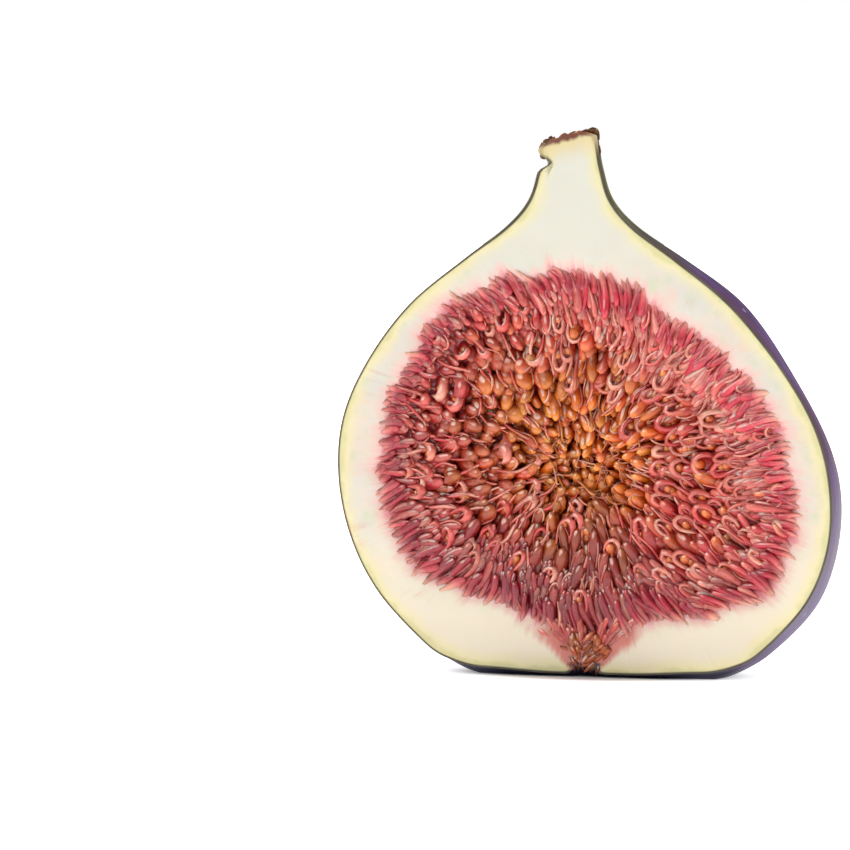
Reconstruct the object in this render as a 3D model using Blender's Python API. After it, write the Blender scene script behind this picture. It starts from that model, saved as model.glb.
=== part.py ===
# Half of a fresh fig, cut lengthwise through the stem and standing on its blossom end.
# Metres, +Z up. The cut face looks along -Y and the rounded back along +Y.
# The origin is on the surface that the fig stands on, under the middle of its box.
# The fruit grew as one piece, so skin, rind, pulp and stem are one solid.

from math import atan2, cos, exp, hypot, pi, sin

import bmesh
import bpy
from mathutils import Matrix, Vector
from mathutils.geometry import interpolate_bezier

MM = 0.001

# The skin's outline, as (radius, height) in mm, from the edge of the flat foot to the stem's cut end.
SKIN_OUTLINE = [
    (13.4, 0.0),
    (19.4, 3.2),
    (24.6, 8.6),
    (27.5, 14.6),
    (28.4, 21.3),
    (27.3, 28.0),
    (23.9, 34.5),
    (18.6, 41.0),
    (12.3, 46.0),
    (7.4, 49.6),
    (4.8, 52.6),
    (3.7, 56.0),
    (3.1, 59.3),
]
HEIGHT = 60.0
OUTLINE_STEPS = 4
BACK_STEPS = 48

# The neck leans to -X: no lean below the first height, all of it above the second.
LEAN = -2.6
LEAN_FROM, LEAN_TO = 3.0, 42.0

# The stem was cut on a slant, so its end drops by this share of the way to -X.
STEM_SLANT = 0.22
STEM_SLANT_FROM = 58.0

# Its own weight has pressed the foot flat, most of all at the back.
FOOT_SETTLE = 1.3
FOOT_SETTLE_REACH = 20.0

# The back swells and sinks a little along the cut edge, as (height, reach, swell) in mm.
EDGE_SWELLS = [
    (43.0, 6.0, 1.1),
    (30.0, 6.0, -0.7),
    (6.0, 6.0, 0.7),
]
EDGE_SWELL_TURN, EDGE_SWELL_END = 0.35, 1.6

# Shallow ribs run down the back from the neck to the foot.
RIBS = 7
RIB_HEIGHT = 0.28
RIB_MIDDLE, RIB_REACH = 24.0, 16.0

# The pulp's outline in the cut face, as (across, height) in mm, clockwise from its top.
PULP_OUTLINE = [
    (-3.1, 45.2),
    (3.6, 43.9),
    (9.9, 40.2),
    (16.4, 34.8),
    (20.9, 29.0),
    (23.3, 21.6),
    (23.3, 14.6),
    (19.6, 9.0),
    (12.2, 6.5),
    (4.6, 5.0),
    (-1.0, 3.4),
    (-6.0, 5.4),
    (-12.4, 8.2),
    (-19.4, 10.4),
    (-24.2, 16.4),
    (-25.2, 24.2),
    (-22.9, 32.6),
    (-18.4, 39.6),
    (-10.8, 43.8),
]

# The pulp is a dish with a hollow in its middle, as (share of the outline, depth in mm).
PULP_FOCUS = (-0.4, 23.6)
PULP_DEPTHS = [
    (1.0, -1.0),
    (1.0, 0.6),
    (0.96, 1.3),
    (0.86, 1.8),
    (0.46, 2.1),
    (0.33, 3.4),
    (0.22, 5.0),
    (0.10, 5.9),
]

# The eye: the small passage from the blossom end to the pulp, which the cut laid open.
EYE_X = -0.9
EYE_HEIGHT = 6.4
EYE_FOOT_RADIUS, EYE_TOP_RADIUS = 2.8, 1.3


def clear_scene():
    for old in list(bpy.data.objects):
        bpy.data.objects.remove(old)


def smooth_line(knots, steps, closed=False):
    """Points along a smooth curve through the knots, each span drawn as one Bezier."""
    count = len(knots)
    points = [Vector((across, up, 0.0)) for across, up in knots]

    def point(index):
        return points[index % count] if closed else points[min(max(index, 0), count - 1)]

    drawn = [] if closed else [points[0]]
    for i in range(count if closed else count - 1):
        start, end = point(i), point(i + 1)
        start_slope = (end - point(i - 1)) / 6
        end_slope = (point(i + 2) - start) / 6
        drawn += interpolate_bezier(start, start + start_slope, end - end_slope, end, steps + 1)[1:]
    return [(p.x, p.y) for p in drawn]


def smooth_share(value, low, high):
    """0 at low and beyond it, 1 at high and beyond it, and an even ease between them."""
    share = min(max((value - low) / (high - low), 0.0), 1.0)
    return share * share * (3 - 2 * share)


def bell(value, middle, reach):
    return exp(-(((value - middle) / reach) ** 2))


def swell(turn, up):
    """How far the back stands out from a plain turned shape. It is 0 along the cut edge."""
    edge = smooth_share(turn, 0.0, EDGE_SWELL_TURN) * smooth_share(turn, EDGE_SWELL_END, EDGE_SWELL_TURN)
    swells = sum(height * bell(up, middle, reach) for middle, reach, height in EDGE_SWELLS)
    ribs = RIB_HEIGHT * sin(RIBS * turn) * sin(turn) * bell(up, RIB_MIDDLE, RIB_REACH)
    return edge * swells + ribs


def grow(bm):
    """Gives the plain turned body its swells, leaning neck, settled foot and slanted stem end."""
    for vert in bm.verts:
        across, back, up = vert.co
        radius, turn = hypot(across, back), atan2(back, across)
        if radius > 1.0:
            radius += swell(turn, up)
        vert.co.x = radius * cos(turn) + LEAN * smooth_share(up, LEAN_FROM, LEAN_TO)
        vert.co.y = radius * sin(turn)
        settled = FOOT_SETTLE * sin(turn) * smooth_share(up, FOOT_SETTLE_REACH, 0.0)
        slanted = STEM_SLANT * across * smooth_share(up, STEM_SLANT_FROM, HEIGHT)
        vert.co.z = max(up - settled, 0.0) + slanted


def scaled_mesh(name, bm):
    """The bmesh, drawn in millimetres, as a mesh in metres with its faces pointing out."""
    bmesh.ops.recalc_face_normals(bm, faces=bm.faces)
    mesh = bpy.data.meshes.new(name)
    bm.to_mesh(mesh)
    bm.free()
    mesh.transform(Matrix.Scale(MM, 4))
    return mesh


def fruit_mesh():
    """The outline turned half way round by way of +Y, then closed by the cut face."""
    outline = [(0.0, 0.0)] + smooth_line([(0.0, 0.0)] + SKIN_OUTLINE, OUTLINE_STEPS)[OUTLINE_STEPS:]
    outline.append((0.0, HEIGHT))
    bm = bmesh.new()
    verts = [bm.verts.new((across, 0.0, up)) for across, up in outline]
    edges = [bm.edges.new(pair) for pair in zip(verts, verts[1:])]
    bmesh.ops.spin(bm, geom=verts + edges, cent=(0, 0, 0), axis=(0, 0, 1), angle=pi, steps=BACK_STEPS)
    bmesh.ops.remove_doubles(bm, verts=bm.verts, dist=0.0001)
    bmesh.ops.contextual_create(bm, geom=[edge for edge in bm.edges if edge.is_boundary])
    grow(bm)
    return scaled_mesh("fig_half", bm)


def pulp_mesh():
    """The dish and its hollow: the outline drawn smaller and smaller, and deeper and deeper."""
    focus_x, focus_z = PULP_FOCUS
    outline = smooth_line(PULP_OUTLINE, OUTLINE_STEPS, closed=True)
    bm = bmesh.new()
    rings = []
    for share, depth in PULP_DEPTHS:
        ring = [
            bm.verts.new((focus_x + share * (x - focus_x), depth, focus_z + share * (z - focus_z)))
            for x, z in outline
        ]
        rings.append([bm.edges.new((ring[i - 1], ring[i])) for i in range(len(ring))])
    for outer, inner in zip(rings, rings[1:]):
        bmesh.ops.bridge_loops(bm, edges=outer + inner)
    bmesh.ops.contextual_create(bm, geom=rings[0])
    bmesh.ops.contextual_create(bm, geom=rings[-1])
    return scaled_mesh("pulp_dish", bm)


def eye_mesh():
    bm = bmesh.new()
    bmesh.ops.create_cone(
        bm, cap_ends=True, segments=20, radius1=EYE_FOOT_RADIUS, radius2=EYE_TOP_RADIUS, depth=EYE_HEIGHT
    )
    bmesh.ops.translate(bm, verts=bm.verts, vec=(EYE_X, 0, 0.5 * EYE_HEIGHT - 1.0))
    return scaled_mesh("eye", bm)


def principled(name, colour, roughness):
    material = bpy.data.materials.new(name)
    material.use_nodes = True
    shader = material.node_tree.nodes["Principled BSDF"]
    shader.inputs["Base Color"].default_value = (*colour, 1.0)
    shader.inputs["Roughness"].default_value = roughness
    shader.inputs["Metallic"].default_value = 0.0
    return material


def add_object(name, mesh, place):
    """Puts a mesh in the scene with its place in its points."""
    mesh.transform(Matrix.Translation(place))
    made = bpy.data.objects.new(name, mesh)
    bpy.context.scene.collection.objects.link(made)
    return made


def box_middle(mesh):
    """The way from the mesh's own origin to the middle of its box, with no height."""
    xs = [vert.co.x for vert in mesh.vertices]
    ys = [vert.co.y for vert in mesh.vertices]
    return Vector(((min(xs) + max(xs)) / 2, (min(ys) + max(ys)) / 2, 0.0))


def cut_away(body, name, mesh, place):
    cutter = add_object(name, mesh, place)
    cutter.hide_render = True
    cutter.display_type = "WIRE"
    cut = body.modifiers.new(name, "BOOLEAN")
    cut.operation = "DIFFERENCE"
    cut.object = cutter


def build():
    clear_scene()
    fruit = fruit_mesh()
    place = -box_middle(fruit)
    fig = add_object("fig_half", fruit, place)
    fruit.shade_smooth()
    fruit.set_sharp_from_angle(angle=pi / 5)
    fruit.materials.append(principled("fig_fruit", (0.12, 0.05, 0.17), 0.5))
    cut_away(fig, "pulp_dish", pulp_mesh(), place)
    cut_away(fig, "eye", eye_mesh(), place)


build()
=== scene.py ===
import math
import random

import bpy
import numpy as np
from mathutils import Matrix, Vector, noise
from mathutils.geometry import interpolate_bezier


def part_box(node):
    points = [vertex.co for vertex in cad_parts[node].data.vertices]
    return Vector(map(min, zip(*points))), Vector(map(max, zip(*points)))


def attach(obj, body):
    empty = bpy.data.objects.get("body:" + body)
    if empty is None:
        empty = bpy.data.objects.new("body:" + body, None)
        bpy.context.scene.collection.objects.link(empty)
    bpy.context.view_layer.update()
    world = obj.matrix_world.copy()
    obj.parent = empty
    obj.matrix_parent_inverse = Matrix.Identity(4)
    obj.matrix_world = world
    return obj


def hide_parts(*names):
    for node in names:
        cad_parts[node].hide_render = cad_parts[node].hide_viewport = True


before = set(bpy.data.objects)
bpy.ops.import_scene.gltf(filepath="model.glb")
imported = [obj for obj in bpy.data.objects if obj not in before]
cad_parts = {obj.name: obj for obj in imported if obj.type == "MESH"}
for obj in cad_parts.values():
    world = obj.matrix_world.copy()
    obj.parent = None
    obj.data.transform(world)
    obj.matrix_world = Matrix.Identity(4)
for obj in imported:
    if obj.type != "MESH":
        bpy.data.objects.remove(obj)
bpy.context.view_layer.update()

mm = 0.001
node = "fig_half"
cadLow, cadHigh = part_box(node)


def linear(hexColour):
    parts = [int(hexColour[i:i + 2], 16) / 255 for i in (1, 3, 5)]
    return [c / 12.92 if c <= 0.04045 else ((c + 0.055) / 1.055) ** 2.4 for c in parts]


def smoothShare(value, low, high):
    share = min(max((value - low) / (high - low), 0.0), 1.0)
    return share * share * (3 - 2 * share)


def bell(value, middle, reach):
    return math.exp(-(((value - middle) / reach) ** 2))


def readOff(knots, value):
    return float(np.interp(value, [k[0] for k in knots], [k[1] for k in knots]))


def smoothLine(knots, steps, closed=False):
    count = len(knots)
    points = [Vector((across, up, 0.0)) for across, up in knots]

    def point(index):
        return points[index % count] if closed else points[min(max(index, 0), count - 1)]

    drawn = [] if closed else [points[0]]
    for i in range(count if closed else count - 1):
        start, end = point(i), point(i + 1)
        startSlope = (end - point(i - 1)) / 6
        endSlope = (point(i + 2) - start) / 6
        drawn += interpolate_bezier(start, start + startSlope, end - endSlope, end, steps + 1)[1:]
    return [(p.x, p.y) for p in drawn]


def editMode(piece, select="DESELECT"):
    bpy.ops.object.select_all(action="DESELECT")
    piece.select_set(True)
    bpy.context.view_layer.objects.active = piece
    bpy.ops.object.mode_set(mode="EDIT")
    bpy.ops.mesh.select_all(action=select)


def objectMode():
    bpy.ops.object.mode_set(mode="OBJECT")


# the fruit's own shape, in mm, as the CAD has it
fruit = {
    # distance from the middle and height, from the foot to the top
    "skinOutline": [
        (11.2, 0.0), (13.6, 0.15), (16.3, 1.15), (19.4, 3.2), (24.6, 8.6), (27.5, 14.6), (28.4, 21.3),
        (27.3, 28.0), (23.9, 34.5), (18.6, 41.0), (12.3, 46.0), (7.4, 49.6), (4.8, 52.6), (3.7, 56.0),
        (3.1, 59.3),
    ],
    "height": 60.0,
    "topRise": 0.7,  # how far the end of the stem is domed
    "outlineSteps": 9,  # between two points of the outline
    "footSteps": 26,
    "topSteps": 9,
    "backSteps": 128,  # round the back
    "lean": (-2.6, 3.0, 42.0),  # how far the top stands aside, from which height and up to which
    "stemSlant": (0.22, 58.0),  # slope of the stem's end, and the height it starts at
    "footSettle": (1.3, 20.0),  # how far the back has sunk, and up to which height
    "shoulder": (46.0, 7.0, 0.2),  # height, reach and how much flatter the half is there
    "edgeSwells": [(43.0, 6.0, 1.1), (30.0, 6.0, -0.7), (6.0, 6.0, 0.7)],  # height, reach, size
    "edgeSwellTurn": (0.35, 1.6),  # angle from the cut edge where a swell is full, and where it ends
    "ribs": (7, 0.28, 24.0, 16.0),  # count, size, height, reach
    "fineRibs": (31, 0.07),
    "eye": (-0.9, 2.1, 1.05),  # across, radius, depth
    # how far the cut edge stands off the floor in the middle, more further out, and how far back
    "frontLift": (0.35, 0.4, 1.6),
    "notch": (56.7, 0.6, 1.25),  # height, reach and depth of the bite in the neck's left edge
    "notchLip": (1.3, 0.5, 0.45),  # the same for the lip, from the notch up
    "tear": 0.45,  # how uneven the end of the stem is
}

pulp = {
    "outline": [
        (-3.1, 45.2), (3.6, 43.9), (9.9, 40.2), (16.4, 34.8), (20.9, 29.0), (23.3, 21.6), (23.3, 14.6),
        (19.6, 9.0), (12.2, 6.5), (4.6, 5.0), (1.4, 3.5), (-0.9, 3.0), (-3.2, 3.6), (-6.0, 5.4),
        (-12.4, 8.2), (-19.4, 10.4), (-24.2, 16.4), (-25.2, 24.2), (-22.9, 32.6), (-18.4, 39.6),
        (-10.8, 43.8),
    ],
    "focus": (-0.4, 23.6),
    "ragged": [(5.0, 0.045), (13.0, 0.035)],  # how finely and how far its edge wanders
    # share of the way from the focus to the outline, depth of the bed behind the cut
    "bedDepths": [
        (0.0, 3.5), (0.12, 3.35), (0.25, 3.0), (0.4, 2.65), (0.6, 2.2), (0.75, 1.75), (0.85, 1.3),
        (0.91, 0.8), (0.95, 0.42), (0.98, 0.18), (1.0, 0.06), (1.04, 0.0),
    ],
}
focusX, focusZ = pulp["focus"]


def ribSwell(turn, up):
    fullTurn, endTurn = fruit["edgeSwellTurn"]
    edge = smoothShare(turn, 0.0, fullTurn) * smoothShare(turn, endTurn, fullTurn)
    swells = sum(height * bell(up, middle, reach) for middle, reach, height in fruit["edgeSwells"])
    count, height, middle, reach = fruit["ribs"]
    ribs = height * math.sin(count * turn) * math.sin(turn) * bell(up, middle, reach)
    fineCount, fineHeight = fruit["fineRibs"]
    wander = 2.5 * noise.noise(Vector((2.2 * turn, 0.0, 0.05 * up)))
    fine = fineHeight * math.sin(fineCount * turn + wander) * smoothShare(up, 4.0, 14.0) * math.sin(turn)
    return edge * swells + ribs + fine


def grown(point):
    across, back, up = point
    radius, turn = math.hypot(across, back), math.atan2(back, across)
    if radius > 1.0:
        radius += ribSwell(turn, up)
    lean, leanFrom, leanTo = fruit["lean"]
    slant, slantFrom = fruit["stemSlant"]
    settle, settleReach = fruit["footSettle"]
    eyeAcross, eyeRadius, eyeDepth = fruit["eye"]
    x = radius * math.cos(turn) + lean * smoothShare(up, leanFrom, leanTo)
    shoulderUp, shoulderReach, flatter = fruit["shoulder"]
    y = radius * math.sin(turn) * (1 - flatter * bell(up, shoulderUp, shoulderReach))
    z = max(up - settle * math.sin(turn) * smoothShare(up, settleReach, 0.0), 0.0)
    z += slant * across * smoothShare(up, slantFrom, fruit["height"])
    liftMiddle, liftOut, liftReach = fruit["frontLift"]
    liftUp = (liftMiddle + liftOut * smoothShare(abs(x), 4.0, 13.5)) * smoothShare(abs(x), 21.0, 12.0)
    z += liftUp * smoothShare(y, liftReach, 0.0) * smoothShare(up, 5.0, 0.0)
    if up < 1.0:
        z += eyeDepth * smoothShare(math.hypot(x - eyeAcross, y), eyeRadius, 0.5)
    return Vector((x, y, z))


# how far the pulp reaches from its focus, by angle
pulpLine = np.array(smoothLine(pulp["outline"], 8, closed=True)) - np.array(pulp["focus"])
pulpAngles = np.arctan2(pulpLine[:, 1], pulpLine[:, 0])
pulpOrder = np.argsort(pulpAngles)
pulpRadii = np.hypot(pulpLine[:, 0], pulpLine[:, 1])[pulpOrder]
pulpAngles = pulpAngles[pulpOrder]


def raggedReach(angle):
    ragged = 1.0
    for count, height in pulp["ragged"]:
        ragged += height * noise.noise(Vector((count * math.cos(angle), count * math.sin(angle), 2.0)))
    return float(np.interp(angle, pulpAngles, pulpRadii, period=math.tau)) * ragged


reachAngles = np.linspace(-math.pi, math.pi, 1440, endpoint=False)
reachTable = np.array([raggedReach(angle) for angle in reachAngles])


def pulpReach(angle):
    return np.interp(angle, reachAngles, reachTable, period=math.tau)


def pulpShare(x, z):
    angle = math.atan2(z - focusZ, x - focusX)
    return math.hypot(x - focusX, z - focusZ) / pulpReach(angle)


def bedDepth(x, z):
    share = pulpShare(x, z)
    lumps = 0.35 * noise.noise(Vector((0.45 * x, 3.0, 0.45 * z))) * smoothShare(share, 1.0, 0.9)
    return readOff(pulp["bedDepths"], share) + lumps


# skin, rind and the bed of the pulp: one closed piece
cut = {
    "fromSkin": [0.10, 0.20, 0.32, 0.50, 0.80],  # narrow rings just inside the skin's edge
    "rindRings": 9,
    "bedShares": [0.985, 0.965, 0.94, 0.91, 0.875, 0.83, 0.78, 0.72, 0.65, 0.57, 0.49, 0.41, 0.33, 0.26,
                  0.19, 0.12, 0.06],
    "rindRoughness": 0.06,
}


def drawOutline():
    line = smoothLine(fruit["skinOutline"], fruit["outlineSteps"])
    footReach, footSteps = line[0][0], fruit["footSteps"]
    foot = [(footReach * i / footSteps, 0.0) for i in range(footSteps)]
    (topReach, topStart), topSteps = fruit["skinOutline"][-1], fruit["topSteps"]
    top = []
    for i in range(1, topSteps + 1):
        rise = fruit["topRise"] * math.sin(0.5 * math.pi * i / topSteps)
        top.append((topReach * (1 - i / topSteps), topStart + rise))
    return [(max(r, 0.0), z) for r, z in foot + line + top]


def makeBody():
    outline = drawOutline()
    bpy.ops.object.select_all(action="DESELECT")
    bpy.ops.mesh.primitive_plane_add(size=0.1, location=(0, 0, 0))
    body = bpy.context.object
    body.name = "figBody"
    editMode(body, "SELECT")
    bpy.ops.mesh.merge(type="CENTER")
    for (r, z), (nextR, nextZ) in zip(outline, outline[1:]):
        bpy.ops.mesh.extrude_region_move(TRANSFORM_OT_translate={"value": (nextR - r, 0, nextZ - z)})
    bpy.ops.mesh.select_all(action="SELECT")
    bpy.ops.mesh.spin(steps=fruit["backSteps"], angle=math.pi, center=(0, 0, 0), axis=(0, 0, -1))
    bpy.ops.mesh.select_all(action="SELECT")
    bpy.ops.mesh.remove_doubles(threshold=0.001)
    objectMode()
    for vert in body.data.vertices:
        vert.co = grown(vert.co)
    skinFaces = len(body.data.polygons)

    # close the half with its cut face, ring by ring
    editMode(body)
    bpy.ops.mesh.select_mode(type="EDGE")
    bpy.ops.mesh.select_non_manifold()
    bpy.ops.mesh.edge_face_add()
    bpy.ops.mesh.select_mode(type="FACE")
    objectMode()
    cutOutline = innerCorners(body)[1]
    bpy.ops.object.mode_set(mode="EDIT")
    for depth in cut["fromSkin"]:
        bpy.ops.mesh.inset(thickness=0.0, depth=0.0)
        slideInwards(body, cutOutline, depth)
    rings = cut["rindRings"]
    for step in range(rings):
        bpy.ops.mesh.inset(thickness=0.0, depth=0.0)
        slideToPulp(body, 1 / (rings - step), 1.0)
    for share in cut["bedShares"]:
        bpy.ops.mesh.inset(thickness=0.0, depth=0.0)
        slideToPulp(body, 1.0, share)
    bpy.ops.mesh.merge(type="CENTER")
    bpy.ops.mesh.select_all(action="SELECT")
    bpy.ops.mesh.normals_make_consistent(inside=False)
    objectMode()
    shapeCutFace(body, skinFaces)
    return body, skinFaces, cutOutline


def innerCorners(body):
    # the corners, in order, of the selected innermost face
    found = next(list(poly.vertices) for poly in body.data.polygons if poly.select)
    places = np.array([body.data.vertices[i].co for i in found])
    return found, places[:, [0, 2]]


def toOutline(points, outline):
    # how far points are from a closed outline, as flat coordinates
    start, end = outline, np.roll(outline, -1, axis=0)
    along = end - start
    share = ((points[:, None] - start) * along).sum(2) / np.maximum((along**2).sum(1), 1e-12)
    nearest = start + along * share.clip(0, 1)[:, :, None]
    return np.sqrt(((points[:, None] - nearest) ** 2).sum(2).min(1))


def slideInwards(body, outline, depth):
    # moves the innermost face's corners along their rays until they are this far from the skin
    objectMode()
    corners, places = innerCorners(body)
    rays = np.array(pulp["focus"]) - places
    low, high = np.zeros(len(places)), np.full(len(places), 0.5)
    for _ in range(18):  # closes in on the place by halves
        middle = (low + high) / 2
        deep = toOutline(places + rays * middle[:, None], outline) > depth
        low, high = np.where(deep, low, middle), np.where(deep, middle, high)
    for i, (x, z) in zip(corners, places + rays * high[:, None]):
        body.data.vertices[i].co.x, body.data.vertices[i].co.z = x, z
    bpy.ops.object.mode_set(mode="EDIT")


def slideToPulp(body, way, share):
    # moves the selected innermost face's corners along their rays towards the pulp
    objectMode()
    for vert in body.data.vertices:
        if vert.select:
            x, z = vert.co.x - focusX, vert.co.z - focusZ
            reach = pulpReach(math.atan2(z, x)) * share / math.hypot(x, z)
            vert.co.x += way * (x * reach - x)
            vert.co.z += way * (z * reach - z)
    bpy.ops.object.mode_set(mode="EDIT")


def shapeCutFace(body, skinFaces):
    mesh = body.data
    skinVerts = set()
    for poly in list(mesh.polygons)[:skinFaces]:
        skinVerts.update(poly.vertices)
    for vert in mesh.vertices:
        if vert.index in skinVerts:
            continue
        x, z = vert.co.x, vert.co.z
        ripple = cut["rindRoughness"] * noise.noise(Vector((0.35 * x, 7.0, 0.35 * z)))
        vert.co.y = bedDepth(x, z) + ripple


body, skinFaces, cutOutline = makeBody()
print("body modelled:", len(body.data.polygons), "faces")

# from the fruit's millimetres to the frame's metres
meshCorners = np.array([vert.co for vert in body.data.vertices])
fruitMiddle = (meshCorners.min(0) + meshCorners.max(0)) / 2
toFrame = Matrix.Translation((
    (cadLow[0] + cadHigh[0]) / 2 - fruitMiddle[0] * mm,
    cadLow[1],
    cadLow[2],
)) @ Matrix.Scale(mm, 4)


def giveNumbers(piece, name, numbers):
    made = piece.data.attributes.new(name, "FLOAT", "POINT")
    made.data.foreach_set("value", np.asarray(numbers, dtype=np.float32))


def eyeShare(x, z):
    # 1 in the eye, on the cut face, and 0 away from it
    wide = 0.9 + 1.25 * z
    return smoothShare(abs(x - fruit["eye"][0]), 1.3 * wide, 0.5 * wide) * smoothShare(z, 7.0, 4.0)


def tearStem(body):
    # the bite in the neck's left edge, and the uneven end of the stem
    notchUp, notchReach, notchDepth = fruit["notch"]
    lipUp, lipReach, lipOut = fruit["notchLip"]
    lean = fruit["lean"][0]
    for vert in body.data.vertices:
        x, y, z = vert.co
        if z < 50:  # below the neck
            continue
        inside = smoothShare(x, lean - 1.2, lean - 3.6) * smoothShare(y, 2.2, 0.6)
        vert.co.x += notchDepth * bell(z, notchUp, notchReach) * inside
        vert.co.x -= lipOut * bell(z, notchUp + lipUp, lipReach) * inside
        uneven = noise.noise(Vector((1.6 * x, 1.6 * y, 4.0)))
        vert.co.z += fruit["tear"] * uneven * smoothShare(z, 58.2, 59.6)


def measureBody(body):
    # what the finishes need to know at each corner: the way round the back, the way in from the skin
    corners = np.array([vert.co for vert in body.data.vertices])
    lean, leanFrom, leanTo = fruit["lean"]
    leans = np.array([lean * smoothShare(z, leanFrom, leanTo) for z in corners[:, 2]])
    giveNumbers(body, "turn", np.arctan2(np.maximum(corners[:, 1], 0), corners[:, 0] - leans))
    giveNumbers(body, "height", corners[:, 2])
    giveNumbers(body, "fromSkin", toOutline(corners[:, [0, 2]], cutOutline))
    giveNumbers(body, "pulpShare", [pulpShare(x, z) for x, _, z in corners])
    giveNumbers(body, "eye", [eyeShare(x, z) for x, _, z in corners])
    slant = fruit["stemSlant"][0]
    giveNumbers(body, "fromTop", [fruit["height"] - z + slant * (x - lean) for x, _, z in corners])


measureBody(body)
tearStem(body)
body.data.transform(toFrame)
for poly in body.data.polygons:
    poly.use_smooth = True
bpy.ops.object.select_all(action="DESELECT")
body.select_set(True)
bpy.context.view_layer.objects.active = body
bpy.ops.object.shade_smooth_by_angle(angle=math.radians(50))
print("body torn, measured and placed")


def addNode(tree, kind, inputs=None, **settings):
    made = tree.nodes.new(kind)
    for name, value in settings.items():
        setattr(made, name, value)
    for name, value in (inputs or {}).items():
        if isinstance(value, bpy.types.NodeSocket):
            tree.links.new(value, made.inputs[name])
        else:
            made.inputs[name].default_value = value
    return made


def newFinish(name, **sockets):
    finish = bpy.data.materials.new(name)
    finish.use_nodes = True
    shader = finish.node_tree.nodes["Principled BSDF"]
    for socket, value in sockets.items():
        shader.inputs[socket.replace("_", " ")].default_value = value
    return finish, finish.node_tree, shader


def calc(tree, operation, first, second=0.0, third=0.0):
    return addNode(tree, "ShaderNodeMath", {0: first, 1: second, 2: third}, operation=operation).outputs[0]


def ramp(tree, factor, stops):
    made = addNode(tree, "ShaderNodeValToRGB", {"Fac": factor})
    elements = made.color_ramp.elements
    while len(elements) < len(stops):
        elements.new(0.5)
    for element, (position, colour) in zip(elements, stops):
        element.position = position
        element.color = (*linear(colour), 1) if isinstance(colour, str) else (colour, colour, colour, 1)
    return made.outputs["Color"]


def mixed(tree, factor, first, second, blend="MIX"):
    made = addNode(tree, "ShaderNodeMix", data_type="RGBA", blend_type=blend)
    for socket, value in ((made.inputs[0], factor), (made.inputs[6], first), (made.inputs[7], second)):
        if isinstance(value, bpy.types.NodeSocket):
            tree.links.new(value, socket)
        elif isinstance(value, str):
            socket.default_value = (*linear(value), 1)
        else:
            socket.default_value = value
    return made.outputs[2]


def spread(tree, value, low, high):
    # 0 at low, 1 at high
    made = addNode(tree, "ShaderNodeMapRange", {0: value, 1: low, 2: high}, interpolation_type="SMOOTHSTEP")
    return made.outputs[0]


def nudged(tree, value, texture, amount):
    # a measure that a texture moves up and down
    return calc(tree, "MULTIPLY_ADD", calc(tree, "SUBTRACT", texture, 0.5), amount, value)


def scaled(tree, value, amount):
    return calc(tree, "MULTIPLY", value, amount)


def layered(tree, colour, layers, measures, colours):
    # lays each colour over the last where its measure runs from low to high
    for name, measure, low, high, strength in layers:
        share = spread(tree, measures[measure], low, high)
        if strength < 1:
            share = scaled(tree, share, strength)
        colour = mixed(tree, share, colour, colours[name])
    return colour


def fromMesh(tree, name, output="Fac"):
    return addNode(tree, "ShaderNodeAttribute", attribute_name=name).outputs[output]


def grain(tree, place, scale, detail=3.0, roughness=0.55):
    return addNode(tree, "ShaderNodeTexNoise", {
        "Vector": place, "Scale": scale, "Detail": detail, "Roughness": roughness,
    }).outputs["Fac"]


def roughen(tree, shader, texture, roughness):
    least, more = roughness
    tree.links.new(calc(tree, "MULTIPLY_ADD", texture, more, least), shader.inputs["Roughness"])


def bump(tree, shader, height, strength, distance):
    made = addNode(tree, "ShaderNodeBump", {"Height": height, "Strength": strength, "Distance": distance})
    tree.links.new(made.outputs[0], shader.inputs["Normal"])


skinLook = {
    "violet": "#543069", "dark": "#331C40", "red": "#602A4C", "bloom": "#6A5098", "speck": "#9C86AC",
    # dark also paints shade on the lower half of the skin, and foot is a painted contact shadow along its
    # bottom
    "olive": "#3E3A22", "green": "#74802A", "cutEdge": "#46282C", "foot": "#1C1630", "brown": "#5E3420",
    # colour, the measure that places it, where it starts, where it is full, how strong
    "layers": [
        ("dark", "streaks", 0.35, 0.68, 1.0), ("red", "wideStreaks", 0.42, 0.7, 1.0),
        ("bloom", "patches", 0.36, 0.66, 0.52), ("speck", "specks", -0.02, 0.03, 0.7),
        # greener towards the neck and along the cut, painted shade darker towards the bottom, a painted
        # contact shadow at the foot, brown at the stem's end
        ("olive", "neck", 43.0, 49.0, 1.0), ("green", "neck", 48.5, 53.0, 1.0),
        ("rusty", "fromCut", 2.3, 1.0, 0.62), ("dark", "height", 24.0, 6.0, 0.5),
        ("foot", "height", 1.9, 0.7, 1.0), ("brown", "neck", 57.0, 59.5, 1.0),
    ],
    "streakStretch": (11.0, 0.055),  # round the back, upwards
    "speckScale": 320.0,
    "speckSize": 0.15,
    "roughness": (0.33, 0.22),  # at the least, and how much more in patches
    "shine": {
        "Sheen_Weight": 0.02, "Sheen_Roughness": 0.4, "Subsurface_Weight": 0.04, "Subsurface_Scale": 0.001,
        "Specular_IOR_Level": 0.13,
    },
}


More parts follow.
